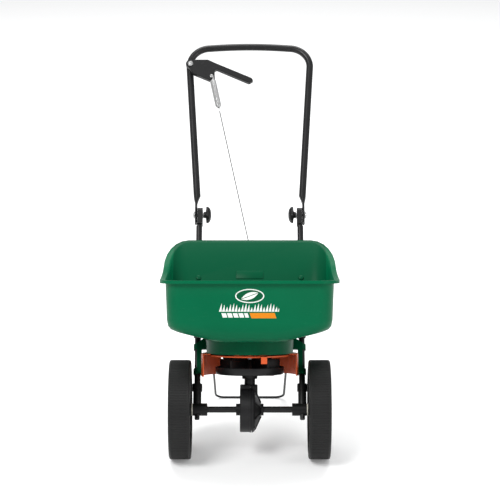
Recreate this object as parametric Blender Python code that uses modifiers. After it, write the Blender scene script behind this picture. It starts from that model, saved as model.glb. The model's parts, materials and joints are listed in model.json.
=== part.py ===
"""Walk-behind broadcast garden spreader, parked on its kickstand.

Everything is modelled in the chassis frame: origin at the middle of the axle, +X to the right, +Y towards the
person who pushes, +Z up with the spinner level. One empty then tips the whole chassis back onto the kickstand.
Metres throughout.
"""

import math

import bmesh
import bpy
from mathutils import Matrix, Vector

# Driving dimensions
WHEEL_R = 0.1016
WHEEL_W = 0.0437
WHEEL_X = 0.1411
WHEEL_FACETS = 32
HUB_R = 0.0140
HUB_RECESS = 0.0105
BUSH_FLANGE = 0.0023
AXLE_R = 0.0064
FIT = 0.0003
TUBE_X = 0.1070
TUBE_R = 0.00635
TUBE_WALL = 0.0012
TUBE_FOOT = 0.0400
LEAN = math.radians(24)
PARK_TILT = math.radians(16)
FOLD_REACH = 0.4363
HANDLE_R = 0.0075
HANDLE_LENGTH = 0.4087
HANDLE_FOOT_X = 0.1140
HANDLE_TOP_X = 0.1318
HANDLE_CORNER_R = 0.0450
HANDLE_BOW = 0.0037
TAB_T = 0.0055
SADDLE_W = 0.0112
KNOB_R = 0.0180
HOPPER_HALF_W = 0.1667
HOPPER_FLOOR_HALF_W = 0.1470
HOPPER_FRONT_Y = -0.1450
HOPPER_RIM_FRONT_Z = 0.2645
HOPPER_RIM_REAR_Z = 0.3450
HOPPER_WALL = 0.0030
RIVET_Z = 0.2620
LIP_REACH = 0.0113
LIP_DROP = 0.0062
HOPPER_OUTLET_R = 0.0850
BASE_TOP_Z = 0.1422
BASE_FLOOR_Z = 0.1150
BASE_R = 0.0890
BASE_WALL = 0.0030
SHAFT_R = 0.0050
DISH_R = 0.0700
DISH_Z = 0.0720
DISH_RIM = 0.0150
VANE_TOP_Z = 0.1020
GEAR_TEETH = 38
PINION_TEETH = 10
GEAR_PITCH_R = 0.0380
GEARBOX_R = 0.0465
GEARBOX_WALL = 0.0022
GEARBOX_LEFT_X = -0.0200
GEARBOX_SPLIT_X = 0.0036
GUARD_R = 0.0985
GUARD_T = 0.0025
PORT_R = 0.0065
PORT_SPREAD = 35
SHUTTER_Z = 0.1090
SHUTTER_T = 0.0030
SHUTTER_R = 0.0800
STAND_R = 0.0026
STAND_HALF_W = 0.0750
STAND_REACH_Y = 0.3530
LEVER_INSET = 0.0020
LEVER_DROP = 0.0522
LEVER_T = 0.0110
CLEVIS_DX = 0.0466
CLEVIS_DZ = -0.0291
SPRING_R = 0.0070
SPRING_LENGTH = 0.0660
SPRING_TURNS = 9
SPRING_WIRE_R = 0.0009
CONTROL_WIRE_R = 0.0010
CRANK_X = 0.0480
CRANK_GAP = 0.0230
CRANK_ARM = 0.0240
CRANK_DROOP = math.radians(38.6)
DIAL_GAP = 0.0120
STAND_SOCKET = Vector((0.0800, 0.1120, 0.1240))
PIN_X = -0.1260

AXLE_Z = WHEEL_R * math.cos(math.pi / WHEEL_FACETS)
STAND_BAR_Z = (STAND_R - AXLE_Z + STAND_REACH_Y * math.sin(PARK_TILT)) / math.cos(PARK_TILT)
GRIP_Y = (FOLD_REACH + HANDLE_LENGTH) * math.sin(LEAN + PARK_TILT) + HANDLE_R
ORIGIN_Y = (AXLE_Z - GRIP_Y) / 2
UP = Vector((0.0, math.sin(LEAN), math.cos(LEAN)))
BACK = Vector((0.0, math.cos(LEAN), -math.sin(LEAN)))
RIGHT = Vector((1.0, 0.0, 0.0))
ALONG_X = Matrix.Rotation(math.radians(90), 4, "Y")
LEANED = Matrix.Rotation(-LEAN, 4, "X")
FOLD = UP * FOLD_REACH
FACING_FRONT = Matrix(((1, 0, 0, 0), (0, 0, -1, 0), (0, 1, 0, 0), (0, 0, 0, 1)))
FACING_BACK = Matrix(((-1, 0, 0, 0), (0, 0, 1, 0), (0, 1, 0, 0), (0, 0, 0, 1)))
LEVER_REACH = FOLD_REACH + HANDLE_LENGTH - LEVER_DROP
LEVER_PIVOT_X = LEVER_INSET - HANDLE_TOP_X
BRACKET_FACE_X = TUBE_X + TUBE_R + 0.00225
BUSH_FACE_X = BRACKET_FACE_X + BUSH_FLANGE + FIT
CRANK_AXIS = Vector((CRANK_X, BASE_R + CRANK_GAP, 0.1280))
CRANK_HOOK = CRANK_AXIS + Vector((0.0, math.cos(CRANK_DROOP), -math.sin(CRANK_DROOP))) * CRANK_ARM
DIAL_SPOT = Vector((-0.0220, BASE_R + DIAL_GAP, 0.1250))
LEVER_SPOT = Matrix.Translation(RIGHT * LEVER_PIVOT_X + UP * LEVER_REACH) @ LEANED @ FACING_FRONT
PARTS = None
CUTTERS = None
CHASSIS = None
MATERIALS = {}


def on_frame(x, reach, back=0.0):
    """A point beside the frame tubes' plane: reach along the tubes from the axle, back behind their plane."""
    return RIGHT * x + UP * reach + BACK * back


def material(name, color, roughness, metallic=0.0):
    made = bpy.data.materials.new(name)
    made.use_nodes = True
    shader = made.node_tree.nodes["Principled BSDF"]
    shader.inputs["Base Color"].default_value = (*color, 1.0)
    shader.inputs["Roughness"].default_value = roughness
    shader.inputs["Metallic"].default_value = metallic
    made.diffuse_color = (*color, 1.0)
    MATERIALS[name] = made


def place(obj, name, paint, matrix=None, parent=None):
    """Names an object, puts it in the parts collection and parents it. The matrix is in the parent's frame."""
    obj.name = name
    obj.data.name = name
    for collection in list(obj.users_collection):
        collection.objects.unlink(obj)
    PARTS.objects.link(obj)
    obj.parent = parent or CHASSIS
    obj.matrix_local = matrix or Matrix()
    obj.data.materials.clear()
    obj.data.materials.append(MATERIALS[paint])
    return obj


def mesh_object(name, mesh_maker):
    mesh = bpy.data.meshes.new(name)
    shape = bmesh.new()
    mesh_maker(shape)
    shape.to_mesh(mesh)
    shape.free()
    mesh.shade_smooth()
    mesh.set_sharp_from_angle(angle=math.radians(35))
    return bpy.data.objects.new(name, mesh)


def turned(profile, steps):
    """A solid of revolution about Z. Its profile is a loop of (radius, height), clockwise from its top."""

    def fill(shape):
        corners = [shape.verts.new((radius, 0.0, height)) for radius, height in profile]
        closed = min(radius for radius, _ in profile) > 1e-6
        for first, second in zip(corners, corners[1:]):
            shape.edges.new((first, second))
        if closed:
            shape.edges.new((corners[-1], corners[0]))

    obj = mesh_object("turned", fill)
    screw = obj.modifiers.new("turn", "SCREW")
    screw.steps = steps
    screw.render_steps = steps
    screw.use_merge_vertices = True
    screw.merge_threshold = 0.00001
    screw.use_normal_calculate = False
    return obj


def cylinder(radius, length, sides=20):
    """A cylinder about Z, from 0 to its length."""

    def fill(shape):
        bmesh.ops.create_cone(
            shape, cap_ends=True, segments=sides, radius1=radius, radius2=radius, depth=length,
            matrix=Matrix.Translation((0, 0, length / 2)),
        )

    return mesh_object("cylinder", fill)


def block(size, bevel=0.0):
    """A box centred on its own origin, with its edges rounded."""

    def fill(shape):
        bmesh.ops.create_cube(shape, size=1.0, matrix=Matrix.Diagonal((*size, 1.0)))

    obj = mesh_object("block", fill)
    if bevel:
        round_edges(obj, bevel)
    return obj


def round_edges(obj, width, segments=1):
    bevel = obj.modifiers.new("round", "BEVEL")
    bevel.width = width
    bevel.segments = segments
    bevel.limit_method = "ANGLE"
    bevel.angle_limit = math.radians(50)


def bar(points, radius, resolution=2, cyclic=False):
    """A round bar through the points, as a mesh."""
    curve = bpy.data.curves.new("bar", "CURVE")
    curve.dimensions = "3D"
    curve.bevel_depth = radius
    curve.bevel_resolution = resolution
    curve.use_fill_caps = True
    spline = curve.splines.new("POLY")
    spline.points.add(len(points) - 1)
    for spot, point in zip(spline.points, points):
        spot.co = (*point, 1.0)
    spline.use_cyclic_u = cyclic
    obj = bpy.data.objects.new("bar", curve)
    PARTS.objects.link(obj)
    bpy.context.view_layer.update()
    graph = bpy.context.evaluated_depsgraph_get()
    mesh = bpy.data.meshes.new_from_object(obj.evaluated_get(graph))
    bpy.data.objects.remove(obj)
    shape = bmesh.new()
    shape.from_mesh(mesh)
    bmesh.ops.remove_doubles(shape, verts=shape.verts, dist=1e-6)
    shape.to_mesh(mesh)
    shape.free()
    mesh.shade_smooth()
    mesh.set_sharp_from_angle(angle=math.radians(40))
    return bpy.data.objects.new("bar", mesh)


def plate(outline, thickness):
    """A flat plate: the outline in X and Y, centred on z = 0."""

    def fill(shape):
        bottom = [shape.verts.new((x, y, -thickness / 2)) for x, y in outline]
        face = shape.faces.new(bottom)
        extruded = bmesh.ops.extrude_face_region(shape, geom=[face])["geom"]
        moved = [part for part in extruded if isinstance(part, bmesh.types.BMVert)]
        bmesh.ops.translate(shape, verts=moved, vec=(0, 0, thickness))
        bmesh.ops.recalc_face_normals(shape, faces=shape.faces)

    return mesh_object("plate", fill)


def combine(target, tool, operation, matrix=None, parent=None):
    """Joins a helper shape to a part or cuts it away, with the helper placed in the parent's frame."""
    tool.name = f"{target.name}_{operation.lower()}"
    for collection in list(tool.users_collection):
        collection.objects.unlink(tool)
    CUTTERS.objects.link(tool)
    tool.parent = parent or CHASSIS
    tool.matrix_local = matrix or Matrix()
    tool.hide_render = True
    tool.display_type = "WIRE"
    boolean = target.modifiers.new(tool.name, "BOOLEAN")
    boolean.operation = operation
    boolean.solver = "EXACT"
    boolean.object = tool


def cut(target, tool, matrix=None):
    combine(target, tool, "DIFFERENCE", matrix)


def join(target, tool, matrix=None):
    combine(target, tool, "UNION", matrix)


def at(point):
    return Matrix.Translation(point)


def arc(radius, start, end, count, centre=(0.0, 0.0)):
    """Points on an arc, angles in degrees, both ends included."""
    points = []
    for index in range(count + 1):
        angle = math.radians(start + (end - start) * index / count)
        points.append((centre[0] + radius * math.cos(angle), centre[1] + radius * math.sin(angle)))
    return points


def sides():
    return (("left", -1), ("right", 1))


# Hopper and outlet


def rounded_outline(half_w, front, rear, front_r, rear_r):
    """Plan points of the hopper, counter-clockwise from the right side, as many for every size."""
    side = rear - rear_r - (front + front_r)
    points = []
    for index in range(5):
        points.append((half_w, front + front_r + side * index / 5))
    points += arc(rear_r, 0, 90, 6, (half_w - rear_r, rear - rear_r))
    for index in range(1, 6):
        points.append((half_w - rear_r - (half_w - rear_r) * index / 6, rear))
    points.append((0.0, rear))
    mirrored = [(-x, y) for x, y in reversed(points[:-1])]
    points += mirrored
    front_left = arc(front_r, 180, 270, 5, (front_r - half_w, front + front_r))[1:]
    points += front_left
    for index in range(1, 10):
        points.append((front_r - half_w + 2 * (half_w - front_r) * index / 10, front))
    points += arc(front_r, 270, 360, 5, (half_w - front_r, front + front_r))[:-1]
    return points


def rear_wall_y(height):
    """The hopper's back wall lies against the frame tubes."""
    return height * math.tan(LEAN) - (TUBE_R + FIT * 2) / math.cos(LEAN)


def rim_height(y, rear, rear_r):
    """The rim is low in front, climbs along the sides and sweeps up round the rear corners."""
    side_y = rear - rear_r
    side_top = HOPPER_RIM_REAR_Z - 0.058
    if y <= side_y:
        along = max(0.0, (y - HOPPER_FRONT_Y) / (side_y - HOPPER_FRONT_Y))
        return HOPPER_RIM_FRONT_Z + (side_top - HOPPER_RIM_FRONT_Z) * along ** 1.8
    return side_top + (HOPPER_RIM_REAR_Z - side_top) * min(1.0, (y - side_y) / rear_r)


def floor_height(x):
    """The floor falls from both ends to the outlet."""
    return max(BASE_TOP_Z + 0.0006, BASE_TOP_Z + 0.0218 - 0.236 * (0.152 - min(abs(x), 0.152)))


def hopper_rings():
    """Outer-surface rings from the outlet up over the lip."""
    flat_rear = rear_wall_y(BASE_TOP_Z)
    rear_r, front_r = 0.038, 0.030
    rings = []

    def leaned(x, y, z, front, rear):
        weight = max(0.0, min(1.0, (y - front) / (rear - front)))
        return (x, y + weight * (rear_wall_y(z) - flat_rear), z)

    floor = rounded_outline(HOPPER_FLOOR_HALF_W, HOPPER_FRONT_Y + 0.022, flat_rear - 0.016, front_r, rear_r)
    for share in (0.0, 0.45, 1.0):
        ring = []
        for x, y in floor:
            span = math.hypot(x, y)
            round_x, round_y = x / span * HOPPER_OUTLET_R, y / span * HOPPER_OUTLET_R
            round_y = min(round_y, HOPPER_OUTLET_R)
            flat_x, flat_y = round_x + (x - round_x) * share, round_y + (y - round_y) * share
            height = BASE_TOP_Z + FIT + (floor_height(x) - BASE_TOP_Z - FIT) * share
            ring.append((flat_x, flat_y, height))
        rings.append(ring)
    for out, rise in ((0.55, 0.14), (0.86, 0.45), (1.0, 1.0)):
        half_w = HOPPER_FLOOR_HALF_W + 0.0169 * out
        front = HOPPER_FRONT_Y + 0.022 * (1 - out)
        rear = flat_rear - 0.016 * (1 - out)
        ring = []
        for x, y in rounded_outline(half_w, front, rear, front_r, rear_r):
            ring.append(leaned(x, y, floor_height(x) + 0.0225 * rise, front, rear))
        rings.append(ring)
    lip = LIP_REACH - HOPPER_WALL
    for share, out, drop in (
        (0.5, 0.0, 0.0), (1.0, 0.0, 0.004), (1.0, 0.0025, 0.0), (1.0, lip, 0.0),
        (1.0, lip, LIP_DROP - HOPPER_WALL),
    ):
        half_w = HOPPER_FLOOR_HALF_W + 0.0169 + (HOPPER_HALF_W - HOPPER_FLOOR_HALF_W - 0.0169) * share + out
        front, rear = HOPPER_FRONT_Y - out - 0.003 * share, flat_rear + out
        ring = []
        for x, y in rounded_outline(half_w, front, rear, front_r + out, rear_r + out):
            low = floor_height(x) + 0.0225
            top = rim_height(y, rear, rear_r + out) - HOPPER_WALL
            ring.append(leaned(x, y, low + (top - low) * share - drop, front, rear))
        rings.append(ring)
    return rings


def hopper():
    def fill(shape):
        rings = [[shape.verts.new(point) for point in ring] for ring in hopper_rings()]
        for lower, upper in zip(rings, rings[1:]):
            for index in range(len(lower)):
                following = (index + 1) % len(lower)
                shape.faces.new((lower[index], lower[following], upper[following], upper[index]))

    tub = mesh_object("hopper", fill)
    wall = tub.modifiers.new("wall", "SOLIDIFY")
    wall.thickness = HOPPER_WALL
    wall.offset = -1
    wall.use_even_offset = True
    place(tub, "hopper", "green_plastic")
    for _, side in sides():
        cut(tub, cylinder(0.0024, 0.03, 12), rivet_matrix(side) @ at((0, 0, -0.012)))
        notch = at(on_frame(side * TUBE_X, (HOPPER_RIM_REAR_Z - 0.02) / math.cos(LEAN))) @ LEANED
        cut(tub, cylinder(TUBE_R + FIT, 0.05, 16), notch)


def rivet_matrix(side):
    """The rivet's own frame: Z runs backwards through the hopper wall into the frame tube."""
    spot = on_frame(side * TUBE_X, RIVET_Z / math.cos(LEAN), -TUBE_R)
    return at(spot) @ Matrix.Rotation(-LEAN - math.radians(90), 4, "X")


def hopper_rivets():
    inside = HOPPER_WALL + 2 * FIT + 0.0010
    profile = [
        (0.0, 0.0006), (0.0021, 0.0006), (0.0021, -inside), (0.0055, -inside),
        (0.0050, -inside - 0.0015), (0.0030, -inside - 0.0025), (0.0, -inside - 0.0028),
    ]
    for name, side in sides():
        rivet = turned(profile, 16)
        place(rivet, f"hopper_rivet_{name}", "green_plastic", rivet_matrix(side))


def outlet_base():
    inner = BASE_R - BASE_WALL
    top, floor = BASE_TOP_Z, BASE_FLOOR_Z
    base = turned(
        [(inner, top), (BASE_R, top), (BASE_R - 0.001, floor), (0.0115, floor), (0.0115, floor - 0.0045),
         (SHAFT_R + FIT, floor - 0.0045), (SHAFT_R + FIT, floor + 0.0030), (inner - 0.001, floor + 0.0030)],
        30,
    )
    place(base, "outlet_base", "green_plastic")
    for _, side in sides():
        outline = [
            (0.0700, 0.1400), (0.0960, 0.1370), (TUBE_X + 0.0015, 0.1290), (TUBE_X + 0.0015, 0.0700),
            (TUBE_X - 0.0085, 0.0700), (TUBE_X - 0.0085, 0.1160), (0.0700, 0.1170),
        ]
        front = at(BACK * (-TUBE_R - 0.0030)) @ LEANED @ Matrix.Rotation(math.radians(90), 4, "X")
        join(base, plate([(side * x, z / math.cos(LEAN)) for x, z in outline], 0.0050), front)
        for height in (0.0690, 0.1180):
            collar = at(on_frame(side * TUBE_X, height / math.cos(LEAN))) @ LEANED
            join(base, cylinder(TUBE_R + 0.0022, 0.012, 16), collar)
        socket = Vector((STAND_SOCKET.x * side, STAND_SOCKET.y - 0.040, STAND_SOCKET.z))
        join(base, block((0.014, 0.082, 0.018)), at(socket))
        cut(base, cylinder(STAND_R + FIT, 0.030, 16), stand_leg_matrix(side))
        bore = at(on_frame(side * TUBE_X, 0.05)) @ LEANED
        cut(base, cylinder(TUBE_R + FIT, 0.12, 18), bore)
    join(base, block((0.120, 0.018, 0.020)), at((0, BASE_R + 0.003, BASE_FLOOR_Z + 0.010)))
    for x in (0.0355, 0.0605):
        join(base, block((0.004, 0.026, 0.014)), at((x, CRANK_AXIS.y - 0.005, CRANK_AXIS.z)))
    cut(base, cylinder(0.0030 + FIT, 0.04, 16), at((0.030, CRANK_AXIS.y, CRANK_AXIS.z)) @ ALONG_X)
    cut(base, cylinder(0.0022 + FIT, 0.02, 12), at(DIAL_SPOT) @ FACING_BACK @ at((0, 0, -0.010)))
    for turn in (-PORT_SPREAD, 0, PORT_SPREAD):
        spot = Matrix.Rotation(math.radians(turn), 4, "Z") @ Vector((0, -0.045, BASE_FLOOR_Z - 0.002))
        cut(base, cylinder(PORT_R, 0.008, 14), at(spot))


def shutter_plate():
    shutter = turned(
        [(0.0125, SHUTTER_Z + SHUTTER_T), (SHUTTER_R, SHUTTER_Z + SHUTTER_T), (SHUTTER_R, SHUTTER_Z),
         (0.0125, SHUTTER_Z)],
        26,
    )
    place(shutter, "shutoff_plate", "orange_plastic")
    join(shutter, block((0.0120, 0.030, SHUTTER_T)), at((0.0285, -0.0825, SHUTTER_Z + SHUTTER_T / 2)))
    join(shutter, block((0.0120, SHUTTER_T, 0.014)), at((0.0285, -0.0960, SHUTTER_Z - 0.004)))
    for turn in (-PORT_SPREAD, 0, PORT_SPREAD):
        closed = Matrix.Rotation(math.radians(turn + PORT_SPREAD / 2), 4, "Z")
        cut(shutter, cylinder(PORT_R, 0.008, 14), at(closed @ Vector((0, -0.045, SHUTTER_Z - 0.002))))


def ring_sector(inner, outer, low, high, start, end, count):
    """An upright curved sheet about Z between two angles, and where it stands."""
    outline = arc(outer, start, end, count) + arc(inner, end, start, count)
    return plate(outline, high - low), at((0, 0, (low + high) / 2))


def shield(name, paint, radius, low, start, end, shelf_start, shelf_end):
    """A curved skirt under the base, with a shelf that slides against the base's underside."""
    shelf_low = SHUTTER_Z + SHUTTER_T + 2 * FIT
    sheet, spot = ring_sector(radius - GUARD_T, radius, low, shelf_low + 0.001, start, end, 16)
    place(sheet, name, paint, spot)
    inner, outer = SHUTTER_R + 0.0020, radius - 0.0005
    shelf, spot = ring_sector(inner, outer, shelf_low, BASE_FLOOR_Z - FIT, shelf_start, shelf_end, 16)
    join(sheet, shelf, spot)


def shields():
    shield("edge_guard", "orange_plastic", GUARD_R, 0.0680, 128, 196, 128, 196)
    shield("side_shield", "orange_plastic", GUARD_R, 0.0700, -14, 60, -14, 60)
    shield("rear_deflector", "black_plastic", GUARD_R - GUARD_T - 0.001, 0.0700, 61, 126, 61, 126)


# Drive


def wheel_profile():
    """Half section from the hub out round the tread: closed loop of (radius, height), clockwise."""
    half = WHEEL_W / 2
    bore = AXLE_R + FIT
    inner = BUSH_FACE_X + 2 * FIT - WHEEL_X
    return [
        (bore, half - HUB_RECESS), (HUB_R, half - HUB_RECESS), (HUB_R + 0.002, half - 0.0200),
        (0.0900, half - 0.0200), (0.0930, half), (WHEEL_R - 0.004, half), (WHEEL_R, half - 0.004),
        (WHEEL_R, 0.004 - half),
        (WHEEL_R - 0.004, -half), (0.0930, -half), (0.0900, half - 0.0230), (HUB_R + 0.002, half - 0.0230),
        (HUB_R, inner), (bore, inner),
    ]


def wheels():
    """The dished side faces out and the hub reaches in. A flat facet of the tread rests on the ground."""
    for name, side in sides():
        outward = Matrix.Rotation(math.radians(90 * side), 4, "Y")
        half_facet = math.pi / WHEEL_FACETS
        wheel = turned(wheel_profile(), WHEEL_FACETS)
        level = Matrix.Rotation(PARK_TILT, 4, "X")
        spot = at((side * WHEEL_X, 0, 0)) @ level @ outward @ Matrix.Rotation(half_facet, 4, "Z")
        place(wheel, f"wheel_{name}", "black_rubber", spot)
    cut(bpy.data.objects["wheel_left"], cylinder(0.0020 + FIT, 0.04, 12), at((PIN_X, 0, -0.02)))


def axle_and_small_parts():
    length = 2 * (WHEEL_X + WHEEL_W / 2 - HUB_RECESS + 0.0065)
    axle = cylinder(AXLE_R, length, 24)
    place(axle, "axle", "black_steel", at((-length / 2, 0, 0)) @ ALONG_X)
    cut(axle, cylinder(0.0020 + FIT, 0.04, 12), at((PIN_X, 0, -0.02)))
    place(cylinder(0.0020, 0.026, 12), "drive_pin", "zinc", at((PIN_X, 0, -0.013)))
    cap = [
        (0.0, 0.0085), (0.0080, 0.0075), (0.0125, 0.0040), (0.0130, 0.0), (AXLE_R + FIT, 0.0),
        (AXLE_R + FIT, 0.0066), (0.0, 0.0066),
    ]
    bush = [
        (AXLE_R + FIT, 0.032), (0.0093, 0.032), (0.0093, BUSH_FLANGE), (0.0125, BUSH_FLANGE),
        (0.0125, 0.0), (AXLE_R + FIT, 0.0),
    ]
    for name, side in sides():
        outward = Matrix.Rotation(math.radians(90 * side), 4, "Y")
        inward = Matrix.Rotation(math.radians(-90 * side), 4, "Y")
        start = WHEEL_X + WHEEL_W / 2 - HUB_RECESS + FIT
        place(turned(cap, 16), f"hub_cap_{name}", "black_plastic", at((side * start, 0, 0)) @ outward)
        start = BUSH_FACE_X
        place(turned(bush, 16), f"axle_bush_{name}", "white_plastic", at((side * start, 0, 0)) @ inward)


def axle_brackets():
    """Each bracket carries the axle bush crosswise and takes the foot of a frame tube."""
    for name, side in sides():
        inward = at((side * BRACKET_FACE_X, 0, 0)) @ Matrix.Rotation(math.radians(-90 * side), 4, "Y")
        bracket = cylinder(0.0128, 0.0295, 20)
        place(bracket, f"axle_bracket_{name}", "black_plastic", inward)
        foot = at((side * TUBE_X, 0, 0)) @ LEANED
        join(bracket, cylinder(TUBE_R + 0.0022, TUBE_FOOT + 0.014, 18), foot)
        join(bracket, cylinder(0.0105, 0.014, 18), foot @ at((0, 0, TUBE_FOOT)))
        join(bracket, cylinder(0.0052, 0.020, 12), foot @ at((0, 0, -0.021)))
        cut(bracket, cylinder(TUBE_R + FIT, 0.04, 18), foot @ at((0, 0, TUBE_FOOT - 0.015)))
        cut(bracket, cylinder(0.0096, 0.06, 16), inward @ at((0, 0, -0.012)))


def frame_tubes():
    start, end = TUBE_FOOT - 0.0145, FOLD_REACH - 0.0260
    bore = TUBE_R - TUBE_WALL
    length = end - start
    sleeve_bore, sleeve_r = TUBE_R + FIT, TUBE_R + FIT + 0.0022
    sleeve = [(sleeve_bore, 0.018), (sleeve_r, 0.018), (sleeve_r, 0.0), (sleeve_bore, 0.0)]
    for name, side in sides():
        tube = turned([(bore, length), (TUBE_R, length), (TUBE_R, 0.0), (bore, 0.0)], 18)
        place(tube, f"frame_tube_{name}", "black_steel", at(on_frame(side * TUBE_X, start)) @ LEANED)
        cut(tube, cylinder(0.0024, 0.008, 12), rivet_matrix(side) @ at((0, 0, -0.0035)))
        spot = at(on_frame(side * TUBE_X, 0.1435 / math.cos(LEAN))) @ LEANED
        place(turned(sleeve, 14), f"tube_sleeve_{name}", "black_plastic", spot)


def stand_direction(side):
    """Along a kickstand leg, from its socket towards the ground."""
    top = Vector((side * STAND_SOCKET.x, STAND_SOCKET.y, STAND_SOCKET.z))
    return (Vector((side * STAND_HALF_W, STAND_REACH_Y, STAND_BAR_Z)) - top).normalized()


def stand_leg_matrix(side):
    """Z runs into the socket, against the leg's direction, from just outside the block."""
    top = Vector((side * STAND_SOCKET.x, STAND_SOCKET.y, STAND_SOCKET.z))
    mouth = top + stand_direction(side) * 0.006
    return at(mouth) @ (-stand_direction(side)).to_track_quat("Z", "Y").to_matrix().to_4x4()


def kickstand():
    corner = 0.018
    points = []
    for side in (-1, 1):
        along = stand_direction(side)
        top = Vector((side * STAND_SOCKET.x, STAND_SOCKET.y, STAND_SOCKET.z)) - along * 0.0150
        low = Vector((side * STAND_HALF_W, STAND_REACH_Y, STAND_BAR_Z)) - along * corner
        leg = [top, top.lerp(low, 0.5), low]
        for angle in (22.5, 45, 67.5, 90):
            turn = math.radians(angle)
            leg.append(low - RIGHT * (side * corner * (1 - math.cos(turn))) + along * corner * math.sin(turn))
        points += leg if side < 0 else list(reversed(leg))
    place(bar(points, STAND_R), "kickstand", "black_steel")


def gearbox():
    """Two half shells that meet on a plane beside the drive gear."""
    inner = GEARBOX_R - GEARBOX_WALL
    depth = GEARBOX_SPLIT_X - FIT - GEARBOX_LEFT_X
    left = turned(
        [(inner, depth), (GEARBOX_R, depth), (GEARBOX_R, 0.001), (GEARBOX_R - 0.001, 0.0), (0.0120, 0.0),
         (0.0120, -0.008), (AXLE_R + FIT, -0.008), (AXLE_R + FIT, GEARBOX_WALL), (inner, GEARBOX_WALL)],
        26,
    )
    place(left, "gear_cover_left", "black_plastic", at((GEARBOX_LEFT_X, 0, 0)) @ ALONG_X)
    reach = 0.0280 - GEARBOX_SPLIT_X
    right = turned(
        [(AXLE_R + FIT, reach), (0.0120, reach), (0.0125, 0.0195), (0.0300, 0.0125),
         (0.0400, 0.0080), (0.0455, 0.0040), (GEARBOX_R, 0.0), (GEARBOX_R - GEARBOX_WALL, 0.0),
         (0.0432, 0.0030), (0.0380, 0.0060), (0.0280, 0.0105), (0.0120, 0.0170), (AXLE_R + FIT, 0.0175)],
        26,
    )
    place(right, "gear_cover_right", "black_plastic", at((GEARBOX_SPLIT_X, 0, 0)) @ ALONG_X)
    top = 0.0505
    for shell, low, high in ((left, -0.0195, GEARBOX_SPLIT_X - FIT), (right, GEARBOX_SPLIT_X, 0.0160)):
        join(shell, block((high - low, 0.030, 0.022)), at(((low + high) / 2, 0, top - 0.011)))
        if shell is left:
            cut(shell, cylinder(inner - 0.0001, 0.030, 26), at((GEARBOX_LEFT_X + GEARBOX_WALL, 0, 0)) @ ALONG_X)
        cut(shell, cylinder(0.0125, 0.027, 20), at((0, 0, 0.0200)))
        cut(shell, cylinder(0.0083 + FIT, 0.020, 16), at((0, 0, 0.0450)))


def join_copy(part, tool, spot):
    """Collects a repeated helper shape, so that one union joins all the copies."""
    name = f"{part.name}_copies"
    tool.data.transform(spot)
    shape = bmesh.new()
    if name in bpy.data.meshes:
        shape.from_mesh(bpy.data.meshes[name])
        helper = bpy.data.meshes[name]
    else:
        helper = bpy.data.meshes.new(name)
        combine(part, bpy.data.objects.new(name, helper), "UNION")
    shape.from_mesh(tool.data)
    shape.to_mesh(helper)
    shape.free()
    bpy.data.objects.remove(tool)


def drive_gear():
    """A face gear: its teeth stand out towards the pinion."""
    face_x, disc_t = -0.0135, 0.0035
    gear = turned(
        [(AXLE_R + FIT, 0.0), (0.0430, 0.0), (0.0430, -disc_t), (AXLE_R + FIT, -disc_t)], 30
    )
    place(gear, "drive_gear", "white_plastic", at((face_x, 0, 0)) @ ALONG_X)
    for index in range(GEAR_TEETH):
        turn = Matrix.Rotation(2 * math.pi * index / GEAR_TEETH, 4, "X")
        spot = turn @ at((face_x + 0.0014, 0, GEAR_PITCH_R))
        join_copy(gear, block((0.0052, 0.0021, 0.0090)), spot)


def pinion():
    pitch = GEAR_PITCH_R * PINION_TEETH / GEAR_TEETH
    low, high, root = 0.0312, 0.0445, 0.0078
    body = turned([(SHAFT_R + FIT, high), (root, high), (root, low), (SHAFT_R + FIT, low)], 30)
    place(body, "pinion", "white_plastic")
    length = pitch + 0.0009 - root + 0.0008
    for index in range(PINION_TEETH):
        turn = Matrix.Rotation(2 * math.pi * (index + 0.5) / PINION_TEETH, 4, "Z")
        spot = turn @ at((0.0008 - root - length / 2, 0, (low + high) / 2))
        join_copy(body, block((length, 0.0021, high - low - 0.0006)), spot)


def spinner():
    place(cylinder(SHAFT_R, 0.1320, 20), "impeller_shaft", "zinc", at((0, 0, 0.0280)))
    bore, low = SHAFT_R + FIT, DISH_Z
    bush = [
        (bore, 0.0622), (0.0110, 0.0622), (0.0110, 0.0508), (0.0083, 0.0508), (0.0083, 0.0475), (bore, 0.0475),
    ]
    place(turned(bush, 16), "shaft_bush", "black_plastic")
    dish = turned(
        [(bore, 0.1020), (0.0090, 0.1020), (0.0125, low + 0.0028), (0.0640, low + 0.0028),
         (0.0668, low + 0.0060),
         (0.0680, low + DISH_RIM), (DISH_R, low + DISH_RIM), (DISH_R - 0.0008, low + 0.0050), (0.0655, low),
         (0.0160, low), (0.0155, 0.0628), (bore, 0.0628)],
        30,
    )
    place(dish, "impeller_dish", "black_plastic")
    for index in range(5):
        turn = Matrix.Rotation(2 * math.pi * index / 5 + 0.3, 4, "Z")
        height = VANE_TOP_Z - low - 0.001
        join_copy(dish, block((0.0530, 0.0024, height)), turn @ at((0.0375, 0, low + 0.001 + height / 2)))
    agitator = turned(
        [(0.0, 0.166), (0.0100, 0.166), (0.0105, 0.1485), (bore, 0.1485), (bore, 0.1615), (0.0, 0.1615)], 20
    )
    place(agitator, "agitator", "black_plastic")
    arm = [(-0.040, 0, 0.1505), (-0.032, 0, 0.1640), (0.032, 0, 0.1640), (0.040, 0, 0.1505)]
    join(agitator, bar(arm, 0.0020))


# Handle, fold joint and control


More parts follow.
